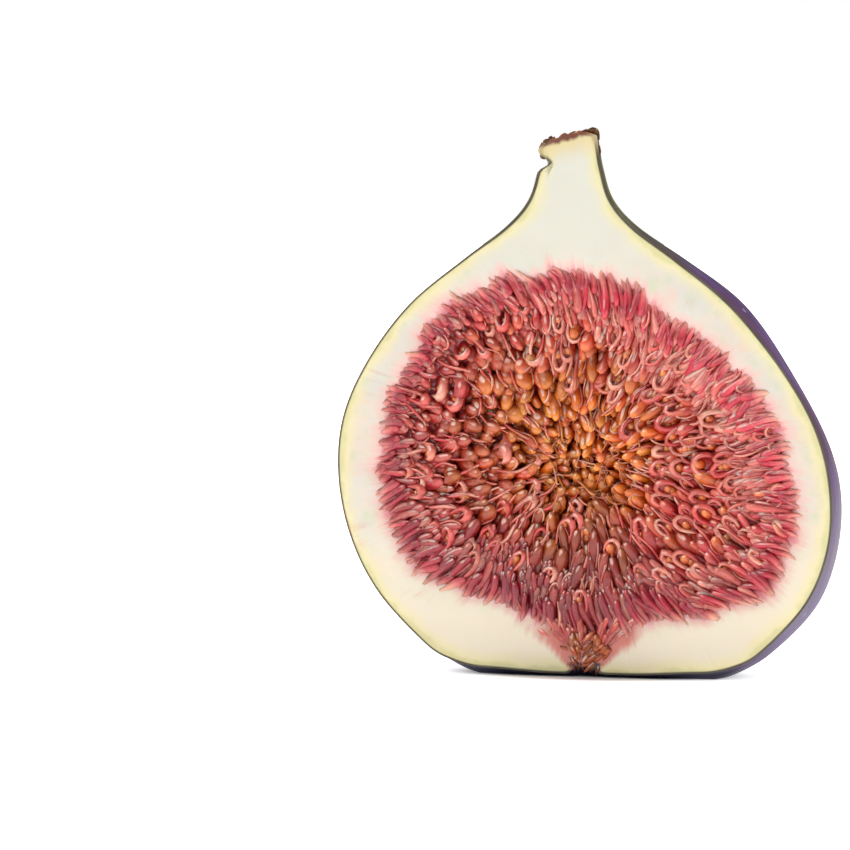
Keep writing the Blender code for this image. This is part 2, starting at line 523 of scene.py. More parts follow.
def skinFinish():
    finish, tree, shader = newFinish("figSkin", **skinLook["shine"])
    place = addNode(tree, "ShaderNodeTexCoord").outputs["Object"]
    turn, height = fromMesh(tree, "turn"), fromMesh(tree, "height")
    stretchRound, stretchUp = skinLook["streakStretch"]
    alongSkin = addNode(tree, "ShaderNodeCombineXYZ", {
        0: scaled(tree, turn, stretchRound), 1: scaled(tree, height, stretchUp),
    }).outputs[0]
    streaks = grain(tree, alongSkin, 2.2, 5.0, 0.6)
    wideStreaks = grain(tree, alongSkin, 0.55, 2.0)
    patches = grain(tree, place, 95.0)
    cells = addNode(tree, "ShaderNodeTexVoronoi", {"Vector": place, "Scale": skinLook["speckScale"]})
    chance = addNode(tree, "ShaderNodeSeparateColor", {0: cells.outputs["Color"]}).outputs[0]
    speckSize = scaled(tree, chance, skinLook["speckSize"])
    depth = addNode(tree, "ShaderNodeSeparateXYZ", {0: place}).outputs[1]
    fromCut = calc(tree, "MULTIPLY_ADD", depth, 1000.0, -1000.0 * cadLow[1])
    measures = {
        "streaks": streaks, "wideStreaks": wideStreaks, "patches": patches, "height": height,
        "specks": calc(tree, "SUBTRACT", speckSize, cells.outputs["Distance"]),
        "neck": nudged(tree, height, streaks, 9.0),
        "fromCut": calc(tree, "MULTIPLY_ADD", patches, 1.2, fromCut),
    }
    rusty = mixed(tree, spread(tree, wideStreaks, 0.36, 0.52), skinLook["olive"], skinLook["cutEdge"])
    colour = layered(tree, skinLook["violet"], skinLook["layers"], measures, {**skinLook, "rusty": rusty})
    tree.links.new(colour, shader.inputs["Base Color"])
    roughen(tree, shader, patches, skinLook["roughness"])
    specks = spread(tree, measures["specks"], -0.02, 0.03)
    relief = calc(tree, "MULTIPLY_ADD", specks, 0.5, streaks)
    relief = calc(tree, "MULTIPLY_ADD", grain(tree, place, 900.0), 0.35, relief)
    bump(tree, shader, relief, 0.35, 0.0002)
    return finish


cutLook = {
    "rind": "#D8CABA", "cream": "#CFCBC0", "neck": "#D2D0C2", "foot": "#E2D8C0", "pale": "#DED5A2",
    "lime": "#BCBA80", "edge": "#3C351E", "greenish": "#BCC8A0", "rosy": "#E2BCB0", "fibre": "#C8B494",
    "tan": "#D2BE8A", "dry": "#6A3218", "eyePink": "#C87466", "eyeBrown": "#9A4A1C", "eyeDark": "#2A120E",
    # share of the way from the middle of the pulp to its rim
    "bed": [(0.0, "#8C340E"), (0.25, "#A03216"), (0.55, "#AA2428"), (0.78, "#BA3046"), (0.9, "#C6485C"),
            (0.95, "#D2707A"), (0.985, "#DC9C98"), (1.0, "#E0B4AA")],
    # colour, the measure that places it, where it starts, where it is full, how strong
    "rindLayers": [
        ("cream", "clouds", 0.4, 0.65, 1.0), ("greenish", "blots", 0.5, 0.72, 0.55),
        ("rosy", "blots", 0.46, 0.28, 0.5), ("fibre", "feathers", 0.5, 0.8, 0.25),
        ("neck", "height", 40.0, 50.0, 1.0), ("foot", "height", 22.0, 8.0, 0.8),
        ("pale", "fromSkin", 2.3, 0.3, 0.9), ("lime", "fromSkin", 0.9, 0.2, 0.55),
        ("edge", "fromEdge", 0.32, 0.14, 1.0),
    ],
    # the eye at the foot, and the dried end of the stem
    "endLayers": [
        ("eyePink", "eye", 0.15, 0.85, 1.0), ("eyeBrown", "lowEye", 0.4, 0.9, 1.0),
        ("eyeDark", "deepEye", 0.6, 0.95, 1.0), ("tan", "fromTop", 3.6, 0.9, 0.65),
        ("dry", "fromTop", 1.05, 0.5, 1.0),
    ],
    "rindStart": (0.985, 1.06),
    "roughness": (0.25, 0.25),
    "shine": {
        "Coat_Weight": 0.35, "Coat_Roughness": 0.2, "Subsurface_Weight": 0.45, "Subsurface_Scale": 0.0016,
        "Subsurface_Radius": (1.0, 0.75, 0.5),
    },
}


def cutFinish():
    finish, tree, shader = newFinish("figCut", **cutLook["shine"])
    place = addNode(tree, "ShaderNodeTexCoord").outputs["Object"]
    share, fromSkin, height = (fromMesh(tree, name) for name in ("pulpShare", "fromSkin", "height"))
    # feathers run along the rays from the middle of the pulp
    focus = toFrame @ Vector((focusX, 0, focusZ))
    ray = place
    for operation, inputs in (
        ("SUBTRACT", {1: focus}), ("MULTIPLY", {1: (1, 0, 1)}), ("NORMALIZE", {}), ("SCALE", {"Scale": 26.0}),
        ("ADD", {1: share}),
    ):
        ray = addNode(tree, "ShaderNodeVectorMath", {0: ray, **inputs}, operation=operation).outputs[0]
    feathers = grain(tree, ray, 1.5, 4.0, 0.7)
    clouds = grain(tree, place, 160.0, 4.0)
    blots = grain(tree, place, 420.0)
    measures = {
        "clouds": clouds, "blots": blots, "feathers": feathers, "height": height,
        "fromSkin": nudged(tree, nudged(tree, fromSkin, clouds, 2.0), blots, 1.6),
        # the skin's cut edge is thicker at the neck
        "fromEdge": calc(tree, "MULTIPLY_ADD", spread(tree, height, 44.0, 52.0), -0.16, fromSkin),
        "eye": nudged(tree, nudged(tree, fromMesh(tree, "eye"), clouds, 1.3), feathers, 0.8),
        "fromTop": nudged(tree, fromMesh(tree, "fromTop"), clouds, 2.2),
    }
    measures["lowEye"] = scaled(tree, measures["eye"], spread(tree, height, 2.4, 1.0))
    measures["deepEye"] = scaled(tree, measures["eye"], spread(tree, height, 2.3, 1.3))
    rind = layered(tree, cutLook["rind"], cutLook["rindLayers"], measures, cutLook)
    shifted = nudged(tree, nudged(tree, share, feathers, 0.13), clouds, 0.05)
    bed = ramp(tree, shifted, cutLook["bed"])
    colour = mixed(tree, spread(tree, shifted, *cutLook["rindStart"]), bed, rind)
    colour = layered(tree, colour, cutLook["endLayers"], measures, cutLook)
    tree.links.new(colour, shader.inputs["Base Color"])
    roughen(tree, shader, clouds, cutLook["roughness"])
    relief = calc(tree, "MULTIPLY_ADD", grain(tree, place, 1100.0), 0.4, scaled(tree, feathers, 0.5))
    bump(tree, shader, relief, 0.3, 0.00015)
    return finish


fleshLook = {
    "mottle": ("#A0303A", 0.45),
    "clear": "#FADACA",
    # the colour of the painted highlight laid on the flesh
    "shine": "#FFECE0",
    "paintedHighlightDirection": (-0.1, -0.9, 0.42),  # the way that flesh faces where the painted highlight is laid
    "paintedHighlightStart": (0.925, 0.98),
    "pulp": {
        "wetness": 0.62, "Coat_Weight": 0.45, "Coat_Roughness": 0.08, "Subsurface_Weight": 0.4,
        "Subsurface_Scale": 0.0009, "Subsurface_Radius": (1.0, 0.35, 0.22), "Specular_IOR_Level": 0.3,
    },
    "husk": {"Specular_IOR_Level": 0.25},
    "roughness": (0.15, 0.3),
}


def fleshFinish(name, wetness=0.0, **sockets):
    # the wet, clear flesh of the flowers: its colour, with painted shade and highlights, is on the mesh
    finish, tree, shader = newFinish(name, **sockets)
    place = addNode(tree, "ShaderNodeTexCoord").outputs["Object"]
    flesh = fromMesh(tree, "flesh", "Color")
    mottle = grain(tree, place, 1100.0)
    mottleColour, mottleShare = fleshLook["mottle"]
    share = scaled(tree, spread(tree, mottle, 0.42, 0.68), mottleShare)
    colour = mixed(tree, share, flesh, mottleColour, "MULTIPLY")
    colour = mixed(tree, 1.0, colour, fleshLook["clear"], "MULTIPLY")
    if wetness:
        # painted highlight: in patches, the colour is lightened where the flesh faces a fixed direction
        # towards the light
        normal = addNode(tree, "ShaderNodeNewGeometry").outputs["Normal"]
        towards = Vector(fleshLook["paintedHighlightDirection"]).normalized()
        facing = addNode(tree, "ShaderNodeVectorMath", {0: normal, 1: towards}, operation="DOT_PRODUCT")
        facing = nudged(tree, facing.outputs["Value"], mottle, 0.16)
        patches = scaled(tree, spread(tree, grain(tree, place, 480.0, 2.0), 0.36, 0.56), wetness)
        patches = scaled(tree, patches, fromMesh(tree, "flesh", "Alpha"))
        brighter = mixed(tree, 1.0, colour, (1.9, 1.9, 1.9, 1), "MULTIPLY")
        shine = mixed(tree, 0.8, brighter, fleshLook["shine"])
        share = scaled(tree, spread(tree, facing, *fleshLook["paintedHighlightStart"]), patches)
        colour = mixed(tree, share, colour, shine)
    tree.links.new(colour, shader.inputs["Base Color"])
    roughen(tree, shader, mottle, fleshLook["roughness"])
    bump(tree, shader, grain(tree, place, 2300.0, 2.0), 0.2, 0.00012)
    return finish


# the back takes the skin, the front takes the cut
body.data.materials.append(skinFinish())
body.data.materials.append(cutFinish())
for poly in body.data.polygons:
    poly.material_index = 0 if poly.index < skinFaces else 1
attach(body, "root")
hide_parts(node)
print("skin and cut face finished")


# the flowers that fill the pulp: sides, then height and radius from the root to the tip, in mm
flowerShapes = {
    "drop": (7, [(0, .26), (1.3, .24), (2.4, .42), (3.3, .74), (4.1, .94), (4.8, .90), (5.4, .60),
                 (5.75, .22)]),
    "bead": (7, [(0, .34), (.9, .52), (1.7, .92), (2.5, 1.10), (3.2, .96), (3.7, .58), (3.95, .20)]),
    "strand": (6, [(0, .20), (.5, .24), (1.1, .28), (1.8, .31), (2.5, .34), (3.2, .38), (3.9, .43),
                   (4.6, .48), (5.3, .50), (5.9, .45), (6.4, .33), (6.75, .12)]),
    "cord": (4, [(0, .05), (.05, .12), (.12, .15), (.2, .17), (.28, .18), (.35, .19), (.42, .19), (.5, .20),
                 (.58, .19), (.65, .19), (.72, .18), (.8, .17), (.88, .15), (.95, .11), (1, .04)]),
    "seed": (7, [(0, .15), (.25, .50), (.6, .72), (1.0, .74), (1.35, .54), (1.55, .18)]),
    "scale": (6, [(0, .30), (.5, .55), (1.1, .66), (1.7, .46), (2.2, .10)]),
}
flatness = {"strand": 0.62, "scale": 0.35}

# colours from the root to the tip, at the shares in toneStops
fleshTones = {
    "gold": ["#6E1804", "#8C2C04", "#AC4806", "#CE700E", "#F4AE48"],
    "amber": ["#702C04", "#8A4406", "#AC6808", "#D08E16", "#F6C65C"],
    "salmon": ["#7E0A12", "#9A1014", "#B02414", "#CC5028", "#F29C6E"],
    "pink": ["#A81438", "#AC1034", "#BC183C", "#CC324C", "#E87C80"],
    "deep": ["#9A1620", "#AA1C26", "#B62C2E", "#C03E32", "#C85E48"],
    "cup": ["#BC2440", "#B42034", "#AE2228", "#A82A1C", "#B23C28"],
    "rim": ["#EEE0D0", "#EEBEB8", "#DC5E72", "#C22C50", "#D0586A"],
    "rimDeep": ["#EADACA", "#DC7C88", "#BC224A", "#AC183E", "#C84656"],
    "petalPink": ["#A8182E", "#C22E40", "#D65058", "#E27A78", "#EEA098"],
    "petalGold": ["#8E2A0C", "#A84A12", "#C07428", "#D89A50", "#EEC88C"],
    "pale": ["#C4505E", "#DC8480", "#EDB8A8", "#F8D6C6", "#F0BDB0"],
    "stalk": ["#C45468", "#E0988E", "#ECB6A2", "#D87A50", "#C8642E"],
    "seed": ["#963610", "#B4521C", "#CC6E2E", "#DE8A48", "#F4B884"],
    "scale": ["#A04426", "#C4662A", "#D88438", "#B8521E", "#5A1E0C"],
    "husk": ["#8C7A42", "#74602E", "#5E4226", "#54301E", "#4A2418"],
}
toneStops = (0.0, 0.2, 0.45, 0.78, 1.0)


def drawTube(name):
    sides, profile = flowerShapes[name]
    bpy.ops.object.select_all(action="DESELECT")
    bpy.ops.mesh.primitive_circle_add(
        vertices=sides, radius=profile[0][1], location=(0, 0, 0), fill_type="NGON",
    )
    tube = bpy.context.object
    tube.name = name
    editMode(tube, "SELECT")
    for (height, radius), (nextHeight, nextRadius) in zip(profile, profile[1:]):
        bpy.ops.mesh.extrude_region_move(TRANSFORM_OT_translate={"value": (0, 0, nextHeight - height)})
        grow = nextRadius / radius
        bpy.ops.transform.resize(value=(grow, grow, 1), center_override=(0, 0, nextHeight))
    bpy.ops.mesh.merge(type="CENTER")
    bpy.ops.mesh.select_all(action="SELECT")
    bpy.ops.transform.resize(value=(1, flatness.get(name, 1), 1), center_override=(0, 0, 0))
    bpy.ops.mesh.normals_make_consistent(inside=False)
    objectMode()
    bpy.ops.object.shade_smooth()
    unrollTube(tube)
    return tube


def unrollTube(tube):
    # lays the tube's wall out flat, so that its colours can be baked
    mesh = tube.data
    length = max(v.co.z for v in mesh.vertices)
    flat = flatness.get(tube.name, 1)
    layer = mesh.uv_layers.new(name="OFBake")
    for poly in mesh.polygons:
        middle = math.atan2(poly.center.y / flat, poly.center.x)
        for loop in poly.loop_indices:
            co = mesh.vertices[mesh.loops[loop].vertex_index].co
            x, y = co.x, co.y / flat
            if poly.normal.z < -0.9 and poly.center.z < 0.01:
                layer.uv[loop].vector = (0.5 + 0.1 * x, 0.03 + 0.1 * y)
                continue
            turn = middle if math.hypot(x, y) < 1e-4 else math.atan2(y, x)
            turn = middle + (turn - middle + math.pi) % (2 * math.pi) - math.pi
            layer.uv[loop].vector = (0.5 + turn / 7.2, 0.08 + 0.9 * co.z / length)


tubes = {name: drawTube(name) for name in flowerShapes}
tubeCorners = {name: np.array([v.co for v in tube.data.vertices]) for name, tube in tubes.items()}
tubeLengths = {name: corners[:, 2].max() for name, corners in tubeCorners.items()}
toneTable = {name: np.array([linear(c) for c in colours]) for name, colours in fleshTones.items()}

paintedLightAndMeltLook = {
    "sides": (0.38, 0.95, 0.82),  # painted shade: how much of each colour is lost where the flesh turns away from the viewer
    "paintedShadeStrength": 0.85,
    # a painted highlight: its colour, the way a surface faces to get it, and where it starts
    "glint": "#FFE2D8",
    "paintedGlintTowards": (-0.3, -0.85, 0.6),
    "paintedGlintStart": 0.74,
    # share of the way to the rim, and the colour that the ends melt into there
    "melt": [(0.94, "#D87682"), (0.975, "#E09A9A"), (1.01, "#E8BEB2"), (1.05, "#E9DBC9")],
    "melted": 0.985,
}
paintedShadeTint = np.array(paintedLightAndMeltLook["sides"])
paintedGlintColour = np.array(linear(paintedLightAndMeltLook["glint"]))
paintedGlintTowards = np.array(Vector(paintedLightAndMeltLook["paintedGlintTowards"]).normalized())
meltShares = [share for share, _ in paintedLightAndMeltLook["melt"]]
meltColours = np.array([linear(colour) for _, colour in paintedLightAndMeltLook["melt"]])


def tubeMap(tube):
    found = np.empty(len(tube.data.loops) * 2, dtype=np.float32)
    tube.data.uv_layers[0].uv.foreach_get("vector", found)
    return found.reshape(-1, 2)


tubeMaps = {name: tubeMap(tube) for name, tube in tubes.items()}


def columnsAt(where, stops, table):
    # reads every column of a table at the same places
    return np.stack([np.interp(where, stops, column) for column in table.T], axis=1)


def reachAlong(line):
    steps = np.hypot(*np.diff(line, axis=0).T)
    return np.concatenate([[0], np.cumsum(steps)]) / steps.sum()


def partOf(line, start, end):
    part = columnsAt(np.linspace(start, end, 25), reachAlong(line), line)
    for _ in range(8):
        part[1:-1] = (part[:-2] + 2 * part[1:-1] + part[2:]) / 4
    return part


def laidAlong(corners, share, line):
    # carries a straight tube along a flat line
    reach = reachAlong(line)
    middle = columnsAt(share, reach, line)
    ahead = columnsAt(np.minimum(share + 0.04, 1), reach, line)
    ahead -= columnsAt(np.maximum(share - 0.04, 0), reach, line)
    ahead /= np.maximum(np.hypot(*ahead.T), 1e-6)[:, None]
    across, up = middle[:, 0] + corners[:, 0] * ahead[:, 1], middle[:, 1] - corners[:, 0] * ahead[:, 0]
    return np.stack([across, corners[:, 1], up], axis=1)


def madeUneven(corners, plain, share, root, lumps):
    # no two flowers are quite round
    turn = np.arctan2(plain[:, 1], plain[:, 0])
    phase = 9.0 * (root[0] + 0.7 * root[2])
    swell = np.sin(2 * turn + phase + 3 * share) + 0.7 * np.sin(3 * turn - 2 * phase + 7 * share)
    swell = 1 + lumps * swell + 0.8 * lumps * np.sin(9 * share + phase)
    corners[:, :2] *= swell[:, None]


def paintLightAndShade(colours, normals, share, glint):
    # painted shade where the flesh turns away from the viewer, and a painted highlight where it faces a fixed
    # direction towards the light
    away = np.clip(0.5 + normals[:, 1], 0, 1) * np.clip((share - 0.15) * 4, 0, 1)
    colours = colours * (1 - paintedLightAndMeltLook["paintedShadeStrength"] * away[:, None] * paintedShadeTint)
    start = paintedLightAndMeltLook["paintedGlintStart"]
    lit = glint * np.clip((normals @ paintedGlintTowards - start) / (1 - start), 0, 1)[:, None]
    return colours * (1 + 0.9 * lit) * (1 - 0.5 * lit) + 0.45 * paintedGlintColour * lit


def melted(colours, places, fade, bright):
    # the ends melt into the rind, and get less of the painted highlight there
    x, z = places[:, 0] - focusX, places[:, 2] - focusZ
    shares = np.hypot(x, z) / pulpReach(np.arctan2(z, x))
    melt = np.clip((shares - fade) / (paintedLightAndMeltLook["melted"] - fade), 0, 1)[:, None] ** 1.2
    haze = columnsAt(shares, meltShares, meltColours)
    paintedHighlightShare = np.clip((0.97 - shares) / 0.14, 0.1, 1)
    return colours * (1 - melt) + haze * melt / max(bright, 0.8), paintedHighlightShare


def flowerEdge(shape, size, gap):
    # the line that the viewer sees round a flower, from its root over its head and back
    _, profile = flowerShapes[shape]
    side = [(r * size[0] + gap, z * size[2]) for z, r in profile]
    top = [(0.0, profile[-1][0] * size[2] + gap)]
    return np.array(smoothLine([(-x, z) for x, z in side] + top + [(x, z) for x, z in reversed(side)], 3))


class Bunch:
    # gathers the copies of the flower shapes that end up in one piece

    def __init__(self, name):
        self.name, self.copies = name, []

    def add(self, shape, root, axis, tones, roll=0.0, size=(1, 1, 1), bend=(0, 0), length=None, bright=1.0,
            lumps=0.0, line=None, glint=0.0, fade=0.0):
        copy = bpy.data.objects.new(self.name, tubes[shape].data.copy())
        plain = tubeCorners[shape]
        share = plain[:, 2] / tubeLengths[shape]
        corners = plain * np.array(size)
        if lumps:
            madeUneven(corners, plain, share, root, lumps)
        if line is not None:
            corners = laidAlong(corners, share, line)
        along = corners[:, 2] / (length or corners[:, 2].max())
        corners[:, 0] += bend[0] * along**2
        corners[:, 1] += bend[1] * along**2
        axis = axis.normalized()
        side = axis.cross(Vector((0, -1, 0))).normalized()
        side = Matrix.Rotation(roll, 3, axis) @ side
        places = corners @ np.array([side, axis.cross(side), axis]) + np.array(root)
        copy.data.vertices.foreach_set("co", places.ravel())
        normals = np.empty(len(plain) * 3, dtype=np.float32)
        copy.data.update()
        copy.data.vertex_normals.foreach_get("vector", normals)
        colours = sum(weight * columnsAt(share, toneStops, toneTable[tone]) for tone, weight in tones.items())
        colours = paintLightAndShade(colours / sum(tones.values()), normals.reshape(-1, 3), share, glint)
        paintedHighlightShare = np.ones(len(plain))
        if fade:
            colours, paintedHighlightShare = melted(colours, places, fade, bright)
        flesh = copy.data.attributes.new("flesh", "FLOAT_COLOR", "POINT")
        painted = np.concatenate([np.clip(colours * bright, 0, 1), paintedHighlightShare[:, None]], axis=1)
        flesh.data.foreach_set("color", painted.astype(np.float32).ravel())
        bpy.context.scene.collection.objects.link(copy)
        self.copies.append((copy, shape))

    def join(self, finish):
        # every copy gets its own cell of the baking map
        across = math.ceil(math.sqrt(len(self.copies)))
        for i, (copy, shape) in enumerate(self.copies):
            cell = np.array([i % across, i // across])
            place = (cell + 0.04 + 0.92 * tubeMaps[shape]) / across
            copy.data.uv_layers[0].uv.foreach_set("vector", place.astype(np.float32).ravel())
        bpy.ops.object.select_all(action="DESELECT")
        for copy, _ in self.copies:
            copy.select_set(True)
        bpy.context.view_layer.objects.active = self.copies[0][0]
        bpy.ops.object.join()
        piece = bpy.context.object
        piece.name = self.name
        piece.data.transform(toFrame)
        piece.data.materials.clear()
        piece.data.materials.append(finish)
        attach(piece, "root")
        piece.data.calc_loop_triangles()
        print(self.name, len(self.copies), "copies,", len(piece.data.loop_triangles), "triangles")


flowers = {
    "seed": 11,
    "spacing": (2.05, 1.12),  # along the ray, across it
    "tries": 30000,
    # share of the way to the rim, then degrees towards the viewer, depth and relative size of the head
    "tilt": [(0.0, 62), (0.15, 46), (0.3, 32), (0.5, 20), (0.8, 12), (1.0, 6)],
    "headDepth": [(0.0, 1.5), (0.12, 1.35), (0.25, 1.1), (0.4, 1.0), (0.6, 0.8), (0.85, 0.65), (1.0, 0.6)],
    "size": [(0.0, 0.74), (0.2, 0.8), (0.35, 0.92), (0.6, 1.0), (0.9, 0.85)],
    "layers": [0.0, 0.6, 1.35],  # how far behind the first each layer's heads lie
    "farthest": (0.93, 0.78),  # share of the way to the rim, in the first layers and in the last
    "rimGap": (0.84, 0.09),  # where flowers give way to strands, and how much later on these sides
    "rimSides": [(15, 55), (150, 40)],
    # the sides, in degrees, with round heads, with hanging ones and with flowers that are laid open
    "beadSide": (152, 42),
    "hangingSide": (-90, 45),
    "openSide": (5, 75),
    "openShare": 0.24,
    "goldMiddle": (-2.6, 26.0),
    "goldReach": [(12.5, 6.0), (11.0, 17.0)],  # where gold fades in, and where pink does
    "paleSide": 38,
}


def nearAngle(angle, middle, reach):
    away = (angle - middle + 180) % 360 - 180
    return math.exp(-((away / reach) ** 2))


def scatter(rng, spacing, tries, farthest):
    # points all over the pulp, no two closer than the spacing along and across their ray
    taken = np.empty((tries, 2))
    count = 0
    for _ in range(tries):
        x, z = rng.uniform(-26, 24), rng.uniform(3, 46)
        share = pulpShare(x, z)
        if share > farthest:
            continue
        away = taken[:count] - (x, z)
        ray = np.array([x - focusX, z - focusZ])
        ray /= np.linalg.norm(ray) + 1e-6
        size = readOff(flowers["size"], share)
        along = (away @ ray) / (spacing[0] * size)
        across = (away @ np.array([-ray[1], ray[0]])) / (spacing[1] * size)
        if count and (along**2 + across**2).min() < 1:
            continue
        taken[count] = (x, z)
        count += 1
    return [tuple(p) for p in taken[:count]]


def swirl(x, z):
    wide = noise.noise(Vector((0.11 * x, 1.5, 0.11 * z)))
    return 0.55 * wide + 0.25 * noise.noise(Vector((0.4 * x, 9.0, 0.4 * z)))


def goldShare(x, z):
    goldX, goldZ = flowers["goldMiddle"]
    far = math.hypot(x - goldX, z - goldZ) + 2.4 * noise.noise(Vector((0.3 * x, 5.0, 0.3 * z)))
    return [smoothShare(far, *reach) for reach in flowers["goldReach"]]


def paleSide(angle):
    # the pulp is paler at the upper right, redder at the lower left
    return 0.5 + 0.5 * math.cos(angle - math.radians(flowers["paleSide"]))


def inward(x, z, turn=0.0):
    angle = math.atan2(focusZ - z, focusX - x) + turn
    return Vector((math.cos(angle), 0, math.sin(angle)))


def placeFlower(x, z, share, angle, beads, hanging, deeper, rng):
    tilt = readOff(flowers["tilt"], share) + 26 * beads - 12 * hanging + rng.gauss(0, 7)
    tilt = math.radians(max(tilt, 2))
    flow = swirl(x, z) * smoothShare(share, 0.15, 0.5)
    ray = inward(x, z, flow + rng.gauss(0, 0.13 + 0.6 * smoothShare(share, 0.3, 0.05)))
    axis = ray * math.cos(tilt) + Vector((0, -math.sin(tilt), 0))
    depth = readOff(flowers["headDepth"], share) + rng.gauss(0, 0.25) + deeper
    shape = "bead" if rng.random() < 0.15 + 0.7 * beads else "drop"
    scale = readOff(flowers["size"], share)
    girth = scale * rng.uniform(0.6, 0.9) * (1 + 0.28 * beads)
    girth *= 1 - 0.3 * smoothShare(share, 0.62, 0.85)
    stretch = (0.4 + 0.6 * scale) * rng.uniform(0.8, 1.15) * (1 + 0.25 * hanging)
    stretch *= 1 - 0.3 * smoothShare(share, 0.75, 0.93)
    # the head stays where it is, and the stalk is shortened until its root is in the pulp
    head = Vector((x, depth, z))
    root = head - axis * 0.72 * tubeLengths[shape] * stretch
    while pulpShare(root.x, root.z) > 1.0 and stretch > 0.3:
        stretch *= 0.9
        root = head - axis * 0.72 * tubeLengths[shape] * stretch
    bright = rng.uniform(0.74, 1.18) * (0.73 + 0.32 * paleSide(math.radians(angle)))
    bright *= 1 - 0.09 * smoothShare(share, 0.36, 0.52)
    bright *= 1 - 0.34 * hanging
    return {
        "shape": shape, "root": root, "axis": axis, "size": (girth, girth, stretch), "bright": bright,
        "bend": (rng.uniform(-0.6, 0.6), rng.uniform(-0.3, 0.2)), "length": tubeLengths[shape] * stretch,
    }


def flowerTones(share, gold, pink, beads, rng):
    tones = {
        "gold": gold + 0.4 * rng.random() ** 2,
        "amber": (gold + 0.15) * 1.3 * rng.random() ** 2,
        "salmon": max(1 - gold - pink, 0.0) + 0.05 + 0.4 * rng.random(),
        "pink": (pink + 0.1) * rng.uniform(0.4, 1.5) + smoothShare(share, 0.6, 0.8),
        "petalPink": beads * smoothShare(share, 0.6, 0.85) * rng.uniform(0.3, 1.5),
    }
    strongest = rng.choices(list(tones), weights=list(tones.values()))[0]
    tones[strongest] += 1.1
    return tones


def layFlowers(bunches, rng, deeper):
    rimGap, laterRim = flowers["rimGap"]
    farthest = flowers["farthest"][1 if deeper > 1 else 0]
    for x, z in scatter(rng, flowers["spacing"], flowers["tries"], farthest):
        share = pulpShare(x, z)
        angle = math.degrees(math.atan2(z - focusZ, x - focusX))
        if share > rimGap + laterRim * max(nearAngle(angle, *side) for side in flowers["rimSides"]):
            continue
        beads = nearAngle(angle, *flowers["beadSide"]) * smoothShare(share, 0.25, 0.45)
        hanging = nearAngle(angle, *flowers["hangingSide"]) * smoothShare(share, 0.12, 0.3)
        flower = placeFlower(x, z, share, angle, beads, hanging, deeper, rng)
        gold, pink = goldShare(x, z)
        tones = flowerTones(share, gold, pink, beads, rng)
        laidOpen = flowers["openShare"] + 0.38 * nearAngle(angle, *flowers["openSide"]) - 0.2 * beads
        laidOpen += 0.15 * smoothShare(share, 0.6, 0.8)
        if deeper:
            tones["deep"] = 1.2
            # painted fill light: the deeper copies are lightened towards the middle, against the shade
            # between the flowers
            flower["bright"] *= 0.96 + 0.3 * smoothShare(share, 0.6, 0.3)
            bunches["behind"].add(tones=tones, lumps=0.12, **flower)
        elif share > 0.27 and rng.random() < laidOpen:
            layOpenFlower(bunches, flower, gold, rng)
        else:
            if hanging > 0.4:
                tones["stalk"] = 0.35 * hanging
            bunches["drops"].add(tones=tones, lumps=0.13, glint=rng.uniform(0.1, 0.65), fade=0.93, **flower)
            layEdges(bunches["edges"], flower, gold, hanging, share, rng)


def paleTones(gold, rng):
    pale = rng.random() ** 1.3
    return {"pale": 0.1 + 1.6 * pale, "petalPink": 1.4 * (1 - pale), "petalGold": 1.6 * gold * rng.random()}


edges = {
    "gap": 0.03,  # between a flower and its fold
    "wholeShare": 0.55,  # of hanging flowers with one fold all round
    "oneSideShare": 0.25,
    "middleShare": (0.1, 0.3),  # no folds before the first share of the way to the rim, all after the second
    "foldShare": 0.85,
    "thickness": (0.45, 0.9),
}


def layEdges(bunch, flower, gold, hanging, share, rng):
    # pale folds that run up a flower's sides and over its head
    line = flowerEdge(flower["shape"], flower["size"], edges["gap"])
    if rng.random() < edges["wholeShare"] * hanging:
        parts = [(0.0, 0.98)]
    elif rng.random() < edges["oneSideShare"]:
        parts = [(rng.uniform(0, 0.2), rng.uniform(0.5, 0.75))]
    else:
        parts = [
            (rng.uniform(0, 0.12), rng.uniform(0.34, 0.5)), (rng.uniform(0.5, 0.64), rng.uniform(0.85, 1.0)),
        ]
    for start, end in parts:
        if rng.random() > smoothShare(share, *edges["middleShare"]) * edges["foldShare"]:
            continue
        thick = rng.uniform(*edges["thickness"])
        root = flower["root"] + Vector((0, rng.uniform(-0.35, 0.1), 0))
        bunch.add(
            "cord", root, flower["axis"], paleTones(gold, rng), roll=rng.uniform(-0.25, 0.25),
            size=(thick, 1.3 * thick, 1), bend=flower["bend"], length=flower["length"],
            line=partOf(line, start, end), bright=rng.uniform(0.85, 1.08), glint=0.2,
        )


openFlowers = {
    "girth": (1.05, 1.3),  # of a closed flower's
    "wallStart": (0, 0.25),
    "wallEnd": (0.62, 0.95),
    "wallThickness": (1.2, 2.3),
    "hook": (0.0, 0.8),
    "wobble": (0.05, 0.2),
    "oneSeed": 0.75,
    "seedSize": (0.72, 0.98),
    "seedPlace": (0.5, 0.68),
}


